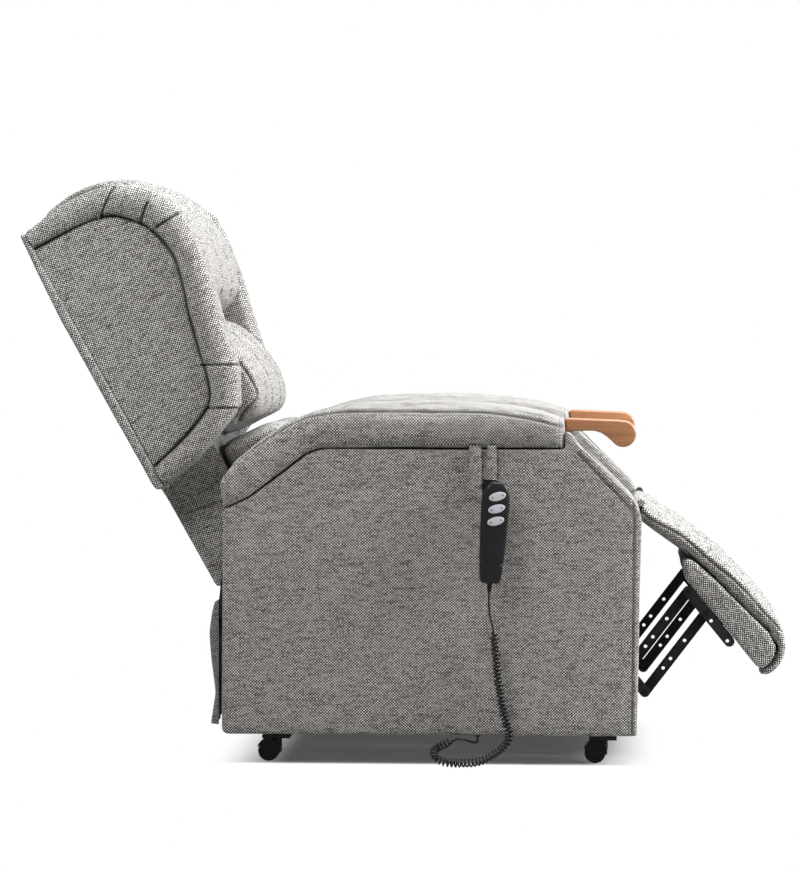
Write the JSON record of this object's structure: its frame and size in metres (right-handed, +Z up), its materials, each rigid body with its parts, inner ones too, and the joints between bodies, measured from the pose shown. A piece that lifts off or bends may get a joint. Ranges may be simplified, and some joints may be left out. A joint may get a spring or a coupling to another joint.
{
  "type": "rise and recline armchair",
  "caption": "Upholstered wing chair on a powered tilting lift base, with reclining back, linked legrest, wooden arm handles and a corded handset.",
  "frame": {"origin": "on the floor in the chair's plane of symmetry, below the middle of its length as posed (back half reclined, legrest half out)", "axes": "+X the way the sitter faces, +Y the sitter's left, +Z up"},
  "size_m": [1.4, 0.8162, 1.062],
  "materials": {
    "steel": "satin black",
    "zinc": "zinc plated",
    "plastic": "fine grain",
    "alloy": "mill finish",
    "key_grey": "smooth",
    "beech": "clear lacquer over stained beech",
    "board_wood": "raw plywood",
    "fabric_dark": "plain weave lining",
    "fabric": "flecked grey tweed"
  },
  "bodies": {
    "base": {"base_frame": "steel", "base_bolts": "zinc"},
    "castor_rear_right": {"castor_fork_rear_right": "plastic"},
    "wheels_rear_right": {"castor_wheels_rear_right": "plastic"},
    "castor_rear_left": {"castor_fork_rear_left": "plastic"},
    "wheels_rear_left": {"castor_wheels_rear_left": "plastic"},
    "castor_front_right": {"castor_fork_front_right": "plastic"},
    "wheels_front_right": {"castor_wheels_front_right": "plastic"},
    "castor_front_left": {"castor_fork_front_left": "plastic"},
    "wheels_front_left": {"castor_wheels_front_left": "plastic"},
    "lift_arms": {"lift_arms": "steel"},
    "lift_links": {"lift_links": "steel"},
    "lift_motor": {"lift_motor": "plastic"},
    "lift_rod": {"lift_rod": "zinc"},
    "chassis": {"chassis_frame": "steel", "chassis_bolts": "zinc", "seat_deck": "board_wood", "seat_cushion": "fabric", "side_panel_right": "fabric", "side_panel_left": "fabric", "inner_panel_right": "fabric_dark", "inner_panel_left": "fabric_dark", "arm_border_right": "fabric", "arm_border_left": "fabric", "arm_pad_right": "fabric", "arm_pad_left": "fabric", "knuckle_right": "beech", "knuckle_left": "beech", "arm_frames": "board_wood", "rear_flap": "fabric_dark", "control_box": "plastic", "handset_loop": "fabric", "cable_gland": "plastic", "leg_motor": "alloy", "curly_cord": "plastic", "chair_cable": "plastic"},
    "leg_drive": {"leg_drive_block": "steel"},
    "back": {"back_board": "board_wood", "back_core": "fabric_dark", "outside_back": "fabric", "wing_right": "fabric", "wing_left": "fabric", "head_pillow": "fabric", "lumbar_pillow": "fabric", "lower_pillow": "fabric"},
    "back_motor": {"back_motor": "plastic"},
    "back_rod": {"back_rod": "zinc"},
    "legrest": {"legrest_board": "fabric", "chaise_pad": "fabric", "legrest_brackets": "steel"},
    "lower_links": {"lower_links": "steel"},
    "rear_links": {"rear_links": "steel"},
    "front_links": {"front_links": "steel"},
    "handset": {"handset_shell": "plastic", "handset_clip": "plastic", "cord_boot": "plastic", "handset_cable": "plastic"},
    "key_top": {"key_top": "key_grey"},
    "key_middle": {"key_middle": "key_grey"},
    "key_bottom": {"key_bottom": "key_grey"}
  },
  "joints": [
    {"name": "swivel_rear_right", "type": "hinge", "parent": "base", "child": "castor_rear_right", "pos_m": [-0.231, -0.32, 0.042], "axis": [0, 0, 1], "continuous": true},
    {"name": "roll_rear_right", "type": "hinge", "parent": "castor_rear_right", "child": "wheels_rear_right", "pos_m": [-0.245, -0.32, 0.019], "axis": [0, 1, 0], "continuous": true},
    {"name": "swivel_rear_left", "type": "hinge", "parent": "base", "child": "castor_rear_left", "pos_m": [-0.231, 0.32, 0.042], "axis": [0, 0, 1], "continuous": true},
    {"name": "roll_rear_left", "type": "hinge", "parent": "castor_rear_left", "child": "wheels_rear_left", "pos_m": [-0.245, 0.32, 0.019], "axis": [0, 1, 0], "continuous": true},
    {"name": "swivel_front_right", "type": "hinge", "parent": "base", "child": "castor_front_right", "pos_m": [0.36, -0.32, 0.042], "axis": [0, 0, 1], "continuous": true},
    {"name": "roll_front_right", "type": "hinge", "parent": "castor_front_right", "child": "wheels_front_right", "pos_m": [0.346, -0.32, 0.019], "axis": [0, 1, 0], "continuous": true},
    {"name": "swivel_front_left", "type": "hinge", "parent": "base", "child": "castor_front_left", "pos_m": [0.36, 0.32, 0.042], "axis": [0, 0, 1], "continuous": true},
    {"name": "roll_front_left", "type": "hinge", "parent": "castor_front_left", "child": "wheels_front_left", "pos_m": [0.346, 0.32, 0.019], "axis": [0, 1, 0], "continuous": true},
    {"name": "lift", "type": "hinge", "parent": "base", "child": "lift_arms", "pos_m": [-0.262, 0, 0.092], "axis": [0, -1, 0], "range_deg": [0, 50]},
    {"name": "lift_tilt", "type": "hinge", "parent": "lift_arms", "child": "chassis", "pos_m": [0.12, 0, 0.092], "axis": [0, 1, 0], "range_deg": [0, 75]},
    {"name": "lift_link", "type": "hinge", "parent": "base", "child": "lift_links", "pos_m": [-0.189, 0, 0.122], "axis": [0, -1, 0], "range_deg": [0, 53.6]},
    {"name": "lift_motor_turn", "type": "hinge", "parent": "base", "child": "lift_motor", "pos_m": [0.288, 0, 0.088], "axis": [0, -1, 0], "range_deg": [-0.95, 0]},
    {"name": "lift_rod_reach", "type": "slide", "parent": "lift_motor", "child": "lift_rod", "axis": [-0.9824, 0, 0.1867], "range_m": [0, 0.0925]},
    {"name": "recline", "type": "hinge", "parent": "chassis", "child": "back", "pos_m": [-0.31, 0, 0.38], "axis": [0, -1, 0], "range_deg": [-17, 16]},
    {"name": "back_motor_turn", "type": "hinge", "parent": "chassis", "child": "back_motor", "pos_m": [0, 0, 0.3], "axis": [0, -1, 0], "range_deg": [-0.6, 0.6]},
    {"name": "back_rod_reach", "type": "slide", "parent": "back_motor", "child": "back_rod", "axis": [-1, 0, -0.0005], "range_m": [-0.0235, 0.0245]},
    {"name": "legrest", "type": "hinge", "parent": "chassis", "child": "legrest", "pos_m": [0.428, 0, 0.466], "axis": [0, -1, 0], "range_deg": [-39.2, 45.8]},
    {"name": "leg_links", "type": "hinge", "parent": "chassis", "child": "lower_links", "pos_m": [0.317, 0, 0.321], "axis": [0, -1, 0], "range_deg": [-39.2, 45.8]},
    {"name": "leg_drive", "type": "slide", "parent": "chassis", "child": "leg_drive", "axis": [1, 0, 0], "range_m": [-0.0415, 0.0485]},
    {"name": "rear_links", "type": "hinge", "parent": "legrest", "child": "rear_links", "pos_m": [0.5148, 0, 0.30451], "axis": [0, -1, 0], "range_deg": [-45.8, 39.2]},
    {"name": "front_links", "type": "hinge", "parent": "legrest", "child": "front_links", "pos_m": [0.54703, 0, 0.26499], "axis": [0, -1, 0], "range_deg": [-45.8, 39.2]},
    {"name": "handset_lift", "type": "slide", "parent": "chassis", "child": "handset", "axis": [0, 0, 1], "range_m": [0, 0.03]},
    {"name": "press_top", "type": "hinge", "parent": "handset", "child": "key_top", "pos_m": [0.17179, -0.41848, 0.48467], "axis": [-0.133, -0.0503, 0.9898], "range_deg": [-4, 4], "stiffness_Nm_per_rad": 0.05},
    {"name": "press_middle", "type": "hinge", "parent": "handset", "child": "key_middle", "pos_m": [0.17026, -0.41848, 0.46272], "axis": [-0.133, -0.0503, 0.9898], "range_deg": [-4, 4], "stiffness_Nm_per_rad": 0.05},
    {"name": "press_bottom", "type": "hinge", "parent": "handset", "child": "key_bottom", "pos_m": [0.16872, -0.41848, 0.44078], "axis": [-0.133, -0.0503, 0.9898], "range_deg": [-4, 4], "stiffness_Nm_per_rad": 0.05}
  ],
  "couplings": [
    {"joint": "lift_tilt", "follows": "lift", "ratio": 1.5},
    {"joint": "lift_link", "follows": "lift", "ratio": 1.071},
    {"joint": "lift_motor_turn", "follows": "lift", "ratio": -0.017759},
    {"joint": "lift_rod_reach", "follows": "lift", "m_per_rad": 0.1055},
    {"joint": "back_motor_turn", "follows": "recline", "ratio": -0.030924},
    {"joint": "back_rod_reach", "follows": "recline", "m_per_rad": -0.079661},
    {"joint": "leg_links", "follows": "legrest", "ratio": 1},
    {"joint": "leg_drive", "follows": "legrest", "m_per_rad": 0.0599},
    {"joint": "rear_links", "follows": "legrest", "ratio": -1},
    {"joint": "front_links", "follows": "legrest", "ratio": -1}
  ]
}
